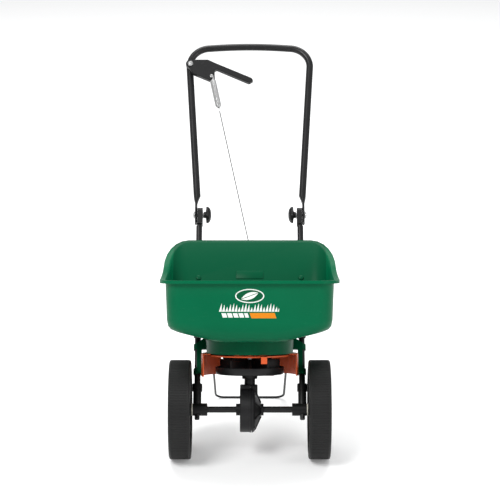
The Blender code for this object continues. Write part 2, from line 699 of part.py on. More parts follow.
def fold_joint():
    """The saddle plugs into the frame tube. The bolt and its knob clamp the handle's flat end against it."""
    outer_face = TUBE_X + 0.0039
    for name, side in sides():
        fold = on_frame(side * (outer_face - SADDLE_W / 2), FOLD_REACH)
        saddle = block((SADDLE_W, 0.0180, 0.0300))
        spot = at(fold + UP * -0.0080) @ LEANED
        place(saddle, f"fold_saddle_{name}", "black_plastic", spot)
        join(saddle, cylinder(0.0090, SADDLE_W, 20), at(fold - RIGHT * SADDLE_W / 2 + UP * 0.0070) @ ALONG_X)
        plug = at(on_frame(side * TUBE_X, FOLD_REACH - 0.0450)) @ LEANED
        join(saddle, cylinder(TUBE_R - TUBE_WALL - FIT, 0.025, 14), plug)
        hole = at(fold - RIGHT * 0.01) @ ALONG_X
        cut(saddle, cylinder(0.0030 + FIT, 0.02, 16), hole)
        tab_face = outer_face + FIT + TAB_T
        inward = Matrix.Rotation(math.radians(-90 * side), 4, "Y")
        start = at(on_frame(side * (tab_face + FIT), FOLD_REACH)) @ inward
        reach = tab_face + FIT - 0.0860
        bolt = turned(
            [(0.0, reach), (0.0030, reach), (0.0030, 0.0), (0.0078, 0.0), (0.0070, -0.0022), (0.0040, -0.0036),
             (0.0, -0.0041)],
            12,
        )
        place(bolt, f"fold_bolt_{name}", "zinc", start)
        start = at(on_frame(side * (outer_face - SADDLE_W - FIT), FOLD_REACH)) @ inward
        bore, hub = 0.0030 + FIT, 0.0068
        knob = turned(
            [(0.0, 0.0178), (0.0110, 0.0166), (0.0165, 0.0130), (KNOB_R, 0.0095), (KNOB_R, 0.0075),
             (0.0160, 0.0068), (hub, 0.0068), (hub, 0.0), (bore, 0.0), (bore, 0.0150), (0.0, 0.0150)],
            16,
        )
        place(knob, f"fold_knob_{name}", "black_plastic", start)


def handle_points():
    """The handle's centre line in its own plane, as (x, reach above the fold bolts)."""
    half = [(HANDLE_FOOT_X, -0.0200), (HANDLE_FOOT_X, 0.0100), (HANDLE_FOOT_X - 0.0005, 0.0260),
            (HANDLE_FOOT_X - 0.0018, 0.0440)]
    top = HANDLE_LENGTH - HANDLE_BOW
    bend = top - HANDLE_CORNER_R
    first = half[-1]
    for share in (0.2, 0.5, 0.8):
        half.append((first[0] + (HANDLE_TOP_X - first[0]) * share, first[1] + (bend - first[1]) * share))
    for x, reach in arc(HANDLE_CORNER_R, 0, 90, 7, (HANDLE_TOP_X - HANDLE_CORNER_R, bend)):
        half.append((x, reach))
    span = HANDLE_TOP_X - HANDLE_CORNER_R
    for share in (0.75, 0.5, 0.25):
        half.append((span * share, top + HANDLE_BOW * (1 - share ** 2)))
    return half + [(0.0, HANDLE_LENGTH)] + [(-x, reach) for x, reach in reversed(half)]


def upper_handle():
    """A bent tube with flattened ends. Its own frame has its origin on the fold axis."""
    tube = bar([(x, 0.0, reach) for x, reach in handle_points()], HANDLE_R, 2)
    for vertex in tube.data.vertices:
        x, back, reach = vertex.co
        flat = max(0.0, min(1.0, (0.0440 - reach) / 0.0180))
        centre = math.copysign(HANDLE_FOOT_X, x)
        squash = 1 + (TAB_T / 2 / HANDLE_R - 1) * flat
        vertex.co.x = x + (centre + (x - centre) * squash - x) * flat
        vertex.co.y = back * (1 + 0.22 * flat)
    place(tube, "upper_handle", "black_steel", at(FOLD) @ LEANED)
    for _, side in sides():
        hole = at(on_frame(side * HANDLE_FOOT_X - 0.01, FOLD_REACH)) @ ALONG_X
        cut(tube, cylinder(0.0030 + FIT, 0.02, 16), hole)
    cut(tube, cylinder(0.0027 + FIT, 0.04, 16), LEVER_SPOT @ at((0, 0, -0.010)))


def lever_parts():
    """The lever in front of the left tube, drawn with X right, Y up the handle and Z towards the front."""
    slope = 1 / math.cos(LEAN)
    arm = [
        (0.0140, 0.0092), (0.0381, 0.0092), (0.0556, 0.0009), (0.1336, -0.0324), (0.1373, -0.0381),
        (0.1279, -0.0436),
        (0.0580, -0.0129), (0.0530, -0.0153), (0.0537, -0.0355), (0.0456, -0.0392), (0.0072, -0.0230),
    ]
    outline = [(x, z * slope) for x, z in reversed(arm)] + arc(0.0100, 60, 250, 8)
    lever = plate(outline, LEVER_T)
    round_edges(lever, 0.0012)
    front = LEVER_SPOT @ at((0, 0, HANDLE_R + 0.0020 + LEVER_T / 2))
    place(lever, "lever", "black_plastic", front)
    cut(lever, cylinder(0.0027 + FIT, 0.04, 16), LEVER_SPOT)
    clevis = LEVER_SPOT @ at((CLEVIS_DX, CLEVIS_DZ * slope, HANDLE_R))
    cut(lever, cylinder(0.0020 + FIT, 0.04, 16), clevis)
    spacer = turned([(0.0030, 0.0017), (0.0075, 0.0017), (0.0075, FIT), (0.0030, FIT)], 16)
    place(spacer, "lever_spacer", "black_plastic", LEVER_SPOT @ at((0, 0, HANDLE_R)))
    head = HANDLE_R + 0.0020 + LEVER_T + FIT
    bolt = [
        (0.0, head + 0.0036), (0.0035, head + 0.0030), (0.0062, head), (0.0027, head),
        (0.0027, -HANDLE_R - 0.004),
        (0.0, -HANDLE_R - 0.004),
    ]
    place(turned(bolt, 20), "lever_pivot_bolt", "zinc", LEVER_SPOT)
    back = 0.0020
    pin = [
        (0.0, head + 0.0026), (0.0040, head), (0.0020, head), (0.0020, back), (0.0, back),
    ]
    place(turned(pin, 16), "clevis_bolt", "zinc", LEVER_SPOT @ at((CLEVIS_DX, CLEVIS_DZ * slope, 0)))


def wire_line():
    """Where the spring hangs on the lever and the straight line from there to the gate crank."""
    slope = 1 / math.cos(LEAN)
    top = LEVER_SPOT @ Vector((CLEVIS_DX, CLEVIS_DZ * slope, HANDLE_R + 0.0020 + LEVER_T + 0.0052))
    return top, (CRANK_HOOK - top).normalized()


def spring_and_wire():
    top, along = wire_line()
    frame = at(top) @ along.to_track_quat("Z", "Y").to_matrix().to_4x4()
    begin = 0.0110
    coil_r = SPRING_R - SPRING_WIRE_R
    points = [(0.0, 0.0, 0.0), (0.0, 0.0, begin - 0.0010)]
    steps = SPRING_TURNS * 6
    for index in range(steps + 1):
        angle = 2 * math.pi * index / 6
        taper = min(1.0, (index + 3) / 6, (steps - index + 3) / 6)
        height = begin + SPRING_LENGTH * index / steps
        points.append((coil_r * taper * math.cos(angle), coil_r * taper * math.sin(angle), height))
    points.append((0.0, 0.0, begin + SPRING_LENGTH + 0.0010))
    points.append((0.0, 0.0, begin + SPRING_LENGTH + 0.0060))
    place(bar(points, SPRING_WIRE_R, 1), "buffer_spring", "zinc", frame)
    start = top + along * (begin + SPRING_LENGTH + 0.0076)
    place(bar([start, start.lerp(CRANK_HOOK, 0.5), CRANK_HOOK - along * 0.0015], CONTROL_WIRE_R, 1),
          "control_wire", "black_steel")


def gate_crank():
    """A two-armed crank behind the base: the wire lifts its short arm, its long arm turns the plate."""
    reach = Vector((CRANK_HOOK.y - CRANK_AXIS.y - 0.0025, CRANK_HOOK.z - CRANK_AXIS.z - 0.0031))
    outline = [
        (-0.0060, 0.0040), (0.0, 0.0040), (reach.x + 0.003, reach.y + 0.0010),
        (reach.x + 0.003, reach.y - 0.0060),
        (0.0060, -0.0090), (-0.0080, -0.0660), (-0.0140, -0.0660),
    ]
    turn = Matrix(((0, 0, 1, 0), (1, 0, 0, 0), (0, 1, 0, 0), (0, 0, 0, 1)))
    spot = at((CRANK_HOOK.x, CRANK_AXIS.y, CRANK_AXIS.z)) @ turn
    crank = plate(outline[::-1], 0.0040)
    place(crank, "gate_crank", "orange_plastic", spot)
    join(crank, block((0.0060, 0.0100, 0.0200)), spot @ at((-0.0110, -0.0610, -0.0085)))
    join(crank, cylinder(0.0058, 0.0200, 24), at((CRANK_HOOK.x - 0.0100, CRANK_AXIS.y, CRANK_AXIS.z)) @ ALONG_X)
    cut(crank, cylinder(0.0030 + FIT, 0.04, 16), at((0.030, CRANK_AXIS.y, CRANK_AXIS.z)) @ ALONG_X)
    place(cylinder(0.0030, 0.0330, 16), "crank_pin", "zinc", at((0.0315, CRANK_AXIS.y, CRANK_AXIS.z)) @ ALONG_X)


def rate_dial():
    dial = turned(
        [(0.0022 + FIT, 0.0070), (0.0070, 0.0070), (0.0080, 0.0040), (0.0190, 0.0035), (0.0200, 0.0010),
         (0.0200, 0.0), (0.0022 + FIT, 0.0)],
        24,
    )
    place(dial, "rate_dial", "black_plastic", at(DIAL_SPOT) @ FACING_BACK @ at((0, 0, FIT)))
    join(dial, block((0.0040, 0.0130, 0.0030)), at(DIAL_SPOT) @ FACING_BACK @ at((0, 0.0128, 0.0045)))
    screw = [
        (0.0, 0.0092), (0.0045, 0.0085), (0.0052, 0.0073 + FIT), (0.0022, 0.0073 + FIT), (0.0022, -0.0090),
        (0.0, -0.0090),
    ]
    place(turned(screw, 16), "dial_screw", "zinc", at(DIAL_SPOT) @ FACING_BACK)


def main():
    global PARTS, CUTTERS, CHASSIS
    for obj in list(bpy.data.objects):
        bpy.data.objects.remove(obj)
    PARTS = bpy.data.collections.new("garden_spreader")
    CUTTERS = bpy.data.collections.new("cutters")
    bpy.context.scene.collection.children.link(PARTS)
    bpy.context.scene.collection.children.link(CUTTERS)
    CHASSIS = bpy.data.objects.new("chassis_frame", None)
    PARTS.objects.link(CHASSIS)
    CHASSIS.rotation_euler = (-PARK_TILT, 0, 0)
    CHASSIS.location = (0, ORIGIN_Y, AXLE_Z)
    bpy.context.view_layer.update()
    material("green_plastic", (0.010, 0.130, 0.060), 0.38)
    material("orange_plastic", (0.560, 0.110, 0.035), 0.45)
    material("black_plastic", (0.022, 0.022, 0.023), 0.50)
    material("black_rubber", (0.028, 0.028, 0.028), 0.70)
    material("black_steel", (0.020, 0.020, 0.021), 0.35)
    material("white_plastic", (0.700, 0.690, 0.650), 0.50)
    material("zinc", (0.600, 0.610, 0.620), 0.30, 1.0)
    hopper()
    hopper_rivets()
    outlet_base()
    shutter_plate()
    shields()
    wheels()
    axle_and_small_parts()
    axle_brackets()
    frame_tubes()
    kickstand()
    gearbox()
    drive_gear()
    pinion()
    spinner()
    fold_joint()
    upper_handle()
    lever_parts()
    spring_and_wire()
    gate_crank()
    rate_dial()


main()
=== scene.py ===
"""Finished look of the parked garden spreader: moulded hopper, ribbed wheels, tube frame and studio light."""
import json
import math

import bmesh
import bpy
from mathutils import Matrix, Vector


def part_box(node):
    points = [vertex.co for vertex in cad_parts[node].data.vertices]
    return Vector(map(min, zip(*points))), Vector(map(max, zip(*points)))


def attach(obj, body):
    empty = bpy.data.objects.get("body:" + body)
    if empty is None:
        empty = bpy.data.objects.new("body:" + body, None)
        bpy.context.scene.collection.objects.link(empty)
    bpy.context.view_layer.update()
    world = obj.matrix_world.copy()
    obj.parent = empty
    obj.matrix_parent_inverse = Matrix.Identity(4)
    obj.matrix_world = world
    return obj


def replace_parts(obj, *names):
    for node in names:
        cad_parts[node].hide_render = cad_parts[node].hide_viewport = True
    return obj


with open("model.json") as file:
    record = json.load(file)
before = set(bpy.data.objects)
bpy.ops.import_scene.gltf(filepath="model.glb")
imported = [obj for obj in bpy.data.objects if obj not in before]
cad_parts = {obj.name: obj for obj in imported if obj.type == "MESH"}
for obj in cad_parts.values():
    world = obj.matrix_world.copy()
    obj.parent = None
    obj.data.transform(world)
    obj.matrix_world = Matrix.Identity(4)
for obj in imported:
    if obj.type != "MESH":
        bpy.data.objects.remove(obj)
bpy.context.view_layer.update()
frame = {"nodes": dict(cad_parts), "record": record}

# Driving sizes, in metres, and places read from the frame
TILT = math.radians(16)
LEAN = math.radians(24)
AXLE_LOW, AXLE_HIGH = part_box("axle")
AXLE = Vector([(low + high) / 2 for low, high in zip(AXLE_LOW, AXLE_HIGH)])
CHASSIS = Matrix.Translation(AXLE) @ Matrix.Rotation(-TILT, 4, "X")
LEANED = Matrix.Rotation(-LEAN, 4, "X")
WHEEL_LOW, WHEEL_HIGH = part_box("wheel_right")
WHEEL_R = (WHEEL_HIGH[1] - WHEEL_LOW[1]) / 2 - 0.0003
WHEEL_X = 0.1411
WHEEL_W = 0.0437
HUB_RECESS = 0.0105
FIT = 0.0003
AXLE_R = 0.0064
TUBE_X = 0.1070
FOLD_REACH = 0.4363
HANDLE_R = 0.0075
TAB_T = 0.0055
HANDLE_FOOT_X = 0.1140
SADDLE_FACE_X = TUBE_X + 0.0039
SADDLE_W = 0.0112
LEVER_PIVOT_X = -0.1298
LEVER_REACH = 0.7928
LEVER_GAP = 0.0020
LEVER_T = 0.0110
CLEVIS_DX = 0.0466
CLEVIS_DZ = -0.0291
SPRING_OFFSET = 0.0052
CRANK_HOOK = Vector((0.0480, 0.130757, 0.113027))
COVER_LEFT_X = -0.0200
COVER_SPLIT_X = 0.0036
DISH_Z = 0.0720
DISH_RIM = 0.0150
BADGE_Z = 0.2342
GRASS_Z = 0.2035
CAMERA_SPOT = (0.0005, -4.0, 0.3243)
CAMERA_FOCUS = 3.9352
MERGE_DISTANCE = 1e-6
EDGE_SOFTENING = 0.0004
ALONG_X = Matrix.Rotation(math.radians(90), 4, "Y")


class Value:
    """A shader socket that understands arithmetic."""

    def __init__(self, sheet, socket):
        self.sheet = sheet
        self.socket = socket

    def math(self, operation, *others):
        return self.sheet.node("ShaderNodeMath", {"operation": operation}, [self, *others])

    def __add__(self, other):
        return self.math("ADD", other)

    def __sub__(self, other):
        return self.math("SUBTRACT", other)

    def __mul__(self, other):
        return self.math("MULTIPLY", other)

    def __truediv__(self, other):
        return self.math("DIVIDE", other)

    def __rsub__(self, other):
        return self.math("MULTIPLY", -1.0).math("ADD", other)

    __radd__ = __add__
    __rmul__ = __mul__

    def above(self, other):
        return self.math("GREATER_THAN", other)

    def below(self, other):
        return self.math("LESS_THAN", other)

    def between(self, low, high):
        return self.above(low) * self.below(high)

    def size(self):
        return self.math("ABSOLUTE")

    def clamped(self):
        return self.math("MINIMUM", 1.0).math("MAXIMUM", 0.0)


class Finish:
    """A material sheet: a Principled shader and the nodes that feed it."""

    def __init__(self, name, **constants):
        self.material = bpy.data.materials.new(name)
        self.material.use_nodes = True
        self.nodes = self.material.node_tree.nodes
        self.links = self.material.node_tree.links
        self.shader = self.nodes["Principled BSDF"]
        for key, value in constants.items():
            self.shader.inputs[key.replace("_", " ")].default_value = value

    def node(self, kind, settings=None, values=(), output=0):
        made = self.nodes.new(kind)
        for key, value in (settings or {}).items():
            setattr(made, key, value)
        pairs = values.items() if isinstance(values, dict) else enumerate(values)
        for key, value in pairs:
            if isinstance(value, Value):
                self.links.new(value.socket, made.inputs[key])
            elif value is not None:
                made.inputs[key].default_value = value
        return Value(self, made.outputs[output])

    def place(self):
        return self.node("ShaderNodeTexCoord", output=3)

    def axes(self):
        """X, Y and Z of the piece's own coordinates."""
        parts = self.node("ShaderNodeSeparateXYZ", values=[self.place()])
        owner = parts.socket.node
        return [Value(self, owner.outputs[index]) for index in range(3)]

    def noise(self, scale, detail=3.0, roughness=0.55):
        values = {"Vector": self.place(), "Scale": scale, "Detail": detail, "Roughness": roughness}
        return self.node("ShaderNodeTexNoise", {"noise_dimensions": "3D"}, values)

    def scaled_noise(self, stretch, scale, detail=3.0):
        moved = self.node("ShaderNodeMapping", values={"Vector": self.place(), "Scale": stretch})
        return self.node("ShaderNodeTexNoise", values={"Vector": moved, "Scale": scale, "Detail": detail})

    def mix(self, factor, first, second):
        """A colour mix: the arguments are colours or values."""
        values = {0: factor, 6: first, 7: second}
        return self.node("ShaderNodeMix", {"data_type": "RGBA"}, values, output=2)

    def bump(self, height, distance):
        return self.node("ShaderNodeBump", values={"Height": height, "Distance": distance, "Strength": 1.0})

    def feed(self, **sockets):
        for key, value in sockets.items():
            self.links.new(value.socket, self.shader.inputs[key.replace("_", " ")])
        return self.material


def shade(color, factor):
    return (color[0] * factor, color[1] * factor, color[2] * factor, 1.0)


def moulded_plastic(name, color, roughness):
    """Injection-moulded plastic: spark texture, faint flow mottling, dust and scuffs that dull the gloss."""
    finish = Finish(name, Specular_IOR_Level=0.24)
    mottle = finish.noise(14.0, 4.0)
    scuff = finish.scaled_noise((1.0, 1.0, 6.0), 90.0, 5.0)
    dust = finish.noise(38.0, 6.0, 0.7)
    scuffed = scuff.above(0.66) * 0.10
    tone = finish.mix(mottle, shade(color, 0.88), shade(color, 1.12))
    worn = finish.mix(scuffed, tone, shade([channel + 0.03 for channel in color], 1.35))
    grain = finish.noise(900.0, 2.0) + dust * 0.3
    return finish.feed(
        Base_Color=worn, Roughness=mottle * 0.08 + dust * 0.10 + scuffed * 0.5 + (roughness - 0.09),
        Normal=finish.bump(grain, 0.00006),
    )


def chassis_axes(finish):
    """Height and depth measured square to the tilted chassis."""
    x, y, z = finish.axes()
    depth = (y - AXLE.y) * math.cos(TILT) - (z - AXLE.z) * math.sin(TILT)
    height = (y - AXLE.y) * math.sin(TILT) + (z - AXLE.z) * math.cos(TILT)
    return x, depth, height


def front_motif(x, height):
    """Masks of the plain motif: badge rim, badge field, leaf, grass, dashes and bar."""
    up = height - BADGE_Z

    def oval(half_w, half_h):
        across, over = x / half_w, up / half_h
        return (across * across + over * over).below(1.0)

    slant = 0.35
    along = x * math.cos(slant) + up * math.sin(slant)
    over = up * math.cos(slant) - x * math.sin(slant)
    bow = along * along / 0.00034
    leaf = (bow + over / 0.0066).below(1.0) * (bow - over / 0.0066).below(1.0) * over.size().above(0.0006)
    above_ground = height - GRASS_Z
    lean = x * 165.0 - above_ground * 26.0
    blade = lean.math("FRACT")
    tall = ((lean - blade) * 2.37).math("SINE").size() * 0.0075 + 0.0085
    half_width = (1.0 - above_ground / tall) * 0.42 + 0.03
    grass = above_ground.above(0.0) * above_ground.below(tall) * (blade - 0.5).size().below(half_width)
    grass = grass * x.between(-0.0600, 0.0575)
    sheared = x + height * 0.35
    gaps = (x * 90.0 + height * 31.0).math("FRACT").above(0.20)
    dashes = height.between(0.1920, 0.2005) * sheared.between(0.0140, 0.0660) * gaps
    bar = height.between(0.1905, 0.2010) * sheared.between(0.0700, 0.1190)
    return oval(0.0285, 0.0138), oval(0.0262, 0.0118), leaf, grass, dashes, bar


def hopper_plastic():
    """Deep green hopper plastic, with painted shade darkening it behind the front wall and towards the
    bottom, and a plain motif on the front: a leaf badge, grass blades and stripes.
    """
    green = (0.0001, 0.104, 0.043)
    white = (0.70, 0.72, 0.69, 1.0)
    orange = (0.62, 0.20, 0.012, 1.0)
    finish = Finish("hopper_plastic", Specular_IOR_Level=0.08)
    x, depth, height = chassis_axes(finish)
    mottle = finish.noise(9.0, 4.0)
    dust = finish.noise(55.0, 6.0, 0.7)
    spark = finish.noise(420.0, 2.0)
    scuff = finish.scaled_noise((1.0, 1.0, 9.0), 60.0, 5.0).above(0.68) * 0.10
    body = finish.mix(mottle, shade(green, 0.90), shade(green, 1.10))
    body = finish.mix(scuff, body, (0.05, 0.22, 0.12, 1.0))
    # Painted shade: behind the front wall, inside the hopper and on its back, the green is darkened towards
    # 62 %.
    inside = ((depth + 0.1300) * 22.0).clamped() * x.size().below(0.1590)
    body = finish.mix(inside * 0.8, body, shade(green, 0.62))
    # Painted shade: the green darkens towards the hopper's bottom, below 0.18 m up the chassis.
    painted_low_shade = ((0.1800 - height) * 45.0).clamped()
    body = finish.mix(painted_low_shade * 0.35, body, shade(green, 0.62))
    front = (depth + (height - 0.1653) * 0.0326).below(-0.1440)
    rim, field, leaf, grass, dashes, bar = front_motif(x, height)
    painted = body
    layers = (
        (rim, white), (field, (0.002, 0.075, 0.030, 1.0)), (leaf * field, white), (grass, white),
        (dashes, white), (bar, orange),
    )
    for mask, color in layers:
        painted = finish.mix(mask * front, painted, color)
    printed = (rim + grass + dashes + bar).math("MINIMUM", 1.0) * front
    return finish.feed(
        Base_Color=painted, Roughness=mottle * 0.07 + dust * 0.09 + scuff - printed * 0.06 + 0.30,
        Normal=finish.bump(spark + printed * 0.8 + dust * 0.2, 0.00005),
    )


def satin_steel():
    """Powder coat: fine orange peel over black, rubbed at random to a slightly lighter sheen."""
    finish = Finish("satin_black_steel", Coat_Weight=0.04, Coat_Roughness=0.22, Specular_IOR_Level=0.26)
    peel = finish.noise(520.0, 2.0)
    cloud = finish.noise(24.0, 4.0)
    rub = finish.scaled_noise((1.0, 0.3, 0.3), 220.0, 4.0).above(0.70) * 0.25
    tone = finish.mix(cloud, (0.007, 0.007, 0.0075, 1.0), (0.012, 0.012, 0.0125, 1.0))
    return finish.feed(
        Base_Color=finish.mix(rub, tone, (0.055, 0.055, 0.055, 1.0)),
        Roughness=cloud * 0.10 + rub * 0.4 + 0.30, Normal=finish.bump(peel, 0.00008),
    )


def zinc_plate():
    """Bright zinc with spangle and short brush marks."""
    finish = Finish("zinc_plate", Metallic=0.75)
    spangle = finish.node("ShaderNodeTexVoronoi", values={"Vector": finish.place(), "Scale": 260.0}, output=1)
    brush = finish.scaled_noise((1.0, 9.0, 9.0), 300.0, 3.0)
    cloud = finish.noise(45.0, 4.0)
    tone = finish.mix(cloud, (0.40, 0.40, 0.41, 1.0), (0.56, 0.56, 0.55, 1.0))
    level = finish.node("ShaderNodeSeparateXYZ", values=[spangle])
    return finish.feed(
        Base_Color=finish.mix(level * 0.25, tone, (0.62, 0.62, 0.61, 1.0)),
        Roughness=brush * 0.16 + cloud * 0.08 + 0.20, Normal=finish.bump(brush, 0.00003),
    )


def wheel_plastic():
    """Black moulded tyre band, dustier between the ribs."""
    finish = Finish("wheel_plastic", Specular_IOR_Level=0.2)
    _, y, z = finish.axes()
    low = y - AXLE.y
    high = z - AXLE.z
    reach = (low * low + high * high).math("SQRT")
    groove = reach.between(WHEEL_R - 0.0045, WHEEL_R - 0.0007)
    cloud = finish.noise(30.0, 5.0)
    speck = finish.noise(420.0, 3.0)
    tone = finish.mix(cloud, (0.009, 0.009, 0.009, 1.0), (0.015, 0.015, 0.015, 1.0))
    return finish.feed(
        Base_Color=finish.mix(groove * 0.5, tone, (0.012, 0.012, 0.012, 1.0)),
        Roughness=cloud * 0.12 + groove * 0.12 + 0.44, Normal=finish.bump(speck, 0.00010),
    )


def dial_plastic():
    """The rate dial's face carries plain tick marks round its edge."""
    finish = Finish("dial_plastic", Specular_IOR_Level=0.5)
    low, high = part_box("rate_dial")
    centre = [(first + second) / 2 for first, second in zip(low, high)]
    x, _, z = finish.axes()
    across = x - centre[0]
    up = (z - centre[2]) / math.cos(TILT)
    reach = (across * across + up * up).math("SQRT")
    turn = up.math("ARCTAN2", across) / (2 * math.pi) * 24.0
    tick = (turn.math("FRACT") - 0.5).size().below(0.10) * reach.between(0.0150, 0.0185)
    cloud = finish.noise(60.0, 4.0)
    tone = finish.mix(cloud, (0.018, 0.018, 0.018, 1.0), (0.030, 0.030, 0.030, 1.0))
    return finish.feed(
        Base_Color=finish.mix(tick, tone, (0.75, 0.75, 0.72, 1.0)), Roughness=cloud * 0.15 + 0.38,
        Normal=finish.bump(finish.noise(800.0, 2.0), 0.00005),
    )


FINISHES = {
    "green": hopper_plastic(),
    "orange": moulded_plastic("orange_plastic", (0.56, 0.085, 0.022), 0.42),
    "black_plastic": moulded_plastic("black_plastic", (0.0075, 0.0075, 0.008), 0.42),
    "nylon": moulded_plastic("natural_nylon", (0.66, 0.64, 0.56), 0.40),
    "wheel_plastic": wheel_plastic(),
    "black_steel": satin_steel(),
    "zinc": zinc_plate(),
}
SLOTS = {entry["node"]: entry["material_slot"] for entry in frame["record"]["subparts"]}
BODIES = {
    node: body for body, nodes in frame["record"]["behaviour"]["bodies"].items() for node in nodes
}


# Mesh tools


def finished(name, shape, node_or_nodes, crease=38, paint=None):
    """Turns a bmesh into a piece that stands for CAD nodes, rides with them and wears their finish."""
    nodes = [node_or_nodes] if isinstance(node_or_nodes, str) else list(node_or_nodes)
    bmesh.ops.remove_doubles(shape, verts=shape.verts, dist=MERGE_DISTANCE)
    mesh = bpy.data.meshes.new(name)
    shape.to_mesh(mesh)
    shape.free()
    mesh.shade_smooth()
    mesh.set_sharp_from_angle(angle=math.radians(crease))
    obj = bpy.data.objects.new(name, mesh)
    bpy.context.scene.collection.objects.link(obj)
    slot = SLOTS[nodes[0]]
    obj.data.materials.append(paint or FINISHES[slot])
    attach(obj, BODIES[nodes[0]])
    return obj


def rounded(obj, width, segments=2, angle=40):
    bevel = obj.modifiers.new("softened edges", "BEVEL")
    bevel.width = width
    bevel.segments = segments
    bevel.limit_method = "ANGLE"
    bevel.angle_limit = math.radians(angle)
    bevel.harden_normals = True
    return obj


def closed_spin(shape, profile, steps, matrix=Matrix()):
    """Spins a closed (radius, height) loop about Z and moves the result by the matrix."""
    corners = [shape.verts.new((radius, 0.0, height)) for radius, height in profile]
    edges = []
    for first, second in zip(corners, corners[1:] + corners[:1]):
        if first.co.x > 1e-7 or second.co.x > 1e-7:
            edges.append(shape.edges.new((first, second)))
    before = set(shape.verts) - set(corners)
    bmesh.ops.spin(
        shape, geom=corners + edges, cent=(0, 0, 0), axis=(0, 0, 1), dvec=(0, 0, 0), angle=2 * math.pi,
        steps=steps, use_merge=True, use_duplicate=False,
    )
    made = [vertex for vertex in shape.verts if vertex not in before]
    bmesh.ops.remove_doubles(shape, verts=made, dist=1e-7)
    made = [vertex for vertex in shape.verts if vertex not in before]
    faces = {face for vertex in made for face in vertex.link_faces}
    bmesh.ops.recalc_face_normals(shape, faces=list(faces))
    bmesh.ops.transform(shape, matrix=matrix, verts=made)
    return made


def box_into(shape, size, matrix, bevel=0.0):
    made = bmesh.ops.create_cube(shape, size=1.0, matrix=matrix @ Matrix.Diagonal((*size, 1.0)))["verts"]
    if bevel:
        edges = {edge for vertex in made for edge in vertex.link_edges}
        bmesh.ops.bevel(
            shape, geom=list(edges), offset=bevel, segments=2, profile=0.5, affect="EDGES", material=-1,
        )


def on_frame(x, reach, back=0.0):
    """The frame of a spot beside the leaning tubes: Z runs up the tubes."""
    spot = Vector((x, 0, 0)) + (LEANED @ Vector((0, back, reach)))
    return CHASSIS @ Matrix.Translation(spot) @ LEANED


def at(x, y, z):
    return Matrix.Translation((x, y, z))


def sides():
    return (("left", -1), ("right", 1))


# Pieces


def smoothed_copy(node, width):
    """A CAD piece with its points merged, smooth shading and softened edges."""
    shape = bmesh.new()
    shape.from_mesh(frame["nodes"][node].data)
    bmesh.ops.remove_doubles(shape, verts=shape.verts, dist=MERGE_DISTANCE)
    bmesh.ops.dissolve_limit(
        shape, angle_limit=math.radians(0.5), verts=shape.verts, edges=shape.edges,
        use_dissolve_boundaries=False,
    )
    paint = dial_plastic() if node == "rate_dial" else None
    obj = finished(f"{node}_finished", shape, node, paint=paint)
    if width:
        rounded(obj, width)
    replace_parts(obj, node)
    return obj


def wheel(name, side):
    """A ribbed tyre band on a dished, spoked centre."""
    outward = CHASSIS @ at(side * WHEEL_X, 0, 0) @ Matrix.Rotation(math.radians(90 * side), 4, "Y")
    half = WHEEL_W / 2
    edge = 0.0046
    bore = AXLE_R + FIT
    ribs = 120
    web = half - 0.0200
    profile = [
        (bore, half - HUB_RECESS), (0.0125, half - HUB_RECESS), (0.0138, half - HUB_RECESS - 0.0012),
        (0.0150, web),
        (0.0170, web - 0.0006), (0.0860, web - 0.0006), (0.0885, web + 0.0010), (0.0905, half - 0.0012),
        (0.0918, half), (WHEEL_R - 0.0040, half), (WHEEL_R - 0.0014, half - 0.0010), (WHEEL_R, half - 0.0034),
        (WHEEL_R, half - edge), (WHEEL_R, edge - half), (WHEEL_R, 0.0034 - half),
        (WHEEL_R - 0.0014, 0.0010 - half), (WHEEL_R - 0.0040, -half), (0.0930, -half),
        (0.0912, 0.0012 - half), (0.0890, web - 0.0030), (0.0170, web - 0.0030), (0.0140, web - 0.0050),
        (0.0138, -half), (bore, -half),
    ]
    shape = bmesh.new()
    closed_spin(shape, profile, ribs * 2)
    tread = []
    for face in shape.faces:
        middle = face.calc_center_median()
        if math.hypot(middle.x, middle.y) > WHEEL_R - 0.0003 and abs(middle.z) < half - edge:
            turn = math.atan2(middle.y, middle.x) / (2 * math.pi) % 1.0
            if int(turn * ribs * 2) % 2:
                tread.append(face)
    bmesh.ops.inset_individual(shape, faces=tread, thickness=0.0004, depth=-0.0007)
    for index in range(10):
        turn = Matrix.Rotation(2 * math.pi * (index + 0.5) / 10, 4, "Z")
        box_into(shape, (0.0740, 0.0032, 0.0120), turn @ at(0.0515, 0, web + 0.0050), 0.0006)
        box_into(shape, (0.0740, 0.0026, 0.0200), turn @ at(0.0520, 0, web - 0.0110), 0.0006)
    for radius, width in ((0.0460, 0.0020), (0.0240, 0.0022)):
        ring = [
            (radius, web + 0.0080), (radius + width, web + 0.0080), (radius + width, web - 0.0010),
            (radius, web - 0.0010),
        ]
        closed_spin(shape, ring, 96)
    bmesh.ops.transform(shape, matrix=outward, verts=shape.verts)
    obj = finished(f"{name}_ribbed", shape, name, 30)
    rounded(obj, 0.0003, 1, 50)
    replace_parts(obj, name)


def hub_cap(name, side):
    start = WHEEL_X + WHEEL_W / 2 - HUB_RECESS + FIT
    outward = CHASSIS @ at(side * start, 0, 0) @ Matrix.Rotation(math.radians(90 * side), 4, "Y")
    dome = [(0.0130 * math.sin(angle), 0.0085 * math.cos(angle) ** 0.8) for angle in
            [math.pi / 2 * index / 10 for index in range(10)]]
    bore = AXLE_R + FIT
    profile = dome + [(0.0130, 0.0006), (0.0126, 0.0), (bore, 0.0), (bore, 0.0066), (0.0, 0.0066)]
    shape = bmesh.new()
    closed_spin(shape, profile, 64, outward)
    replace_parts(finished(f"{name}_domed", shape, name, 40), name)


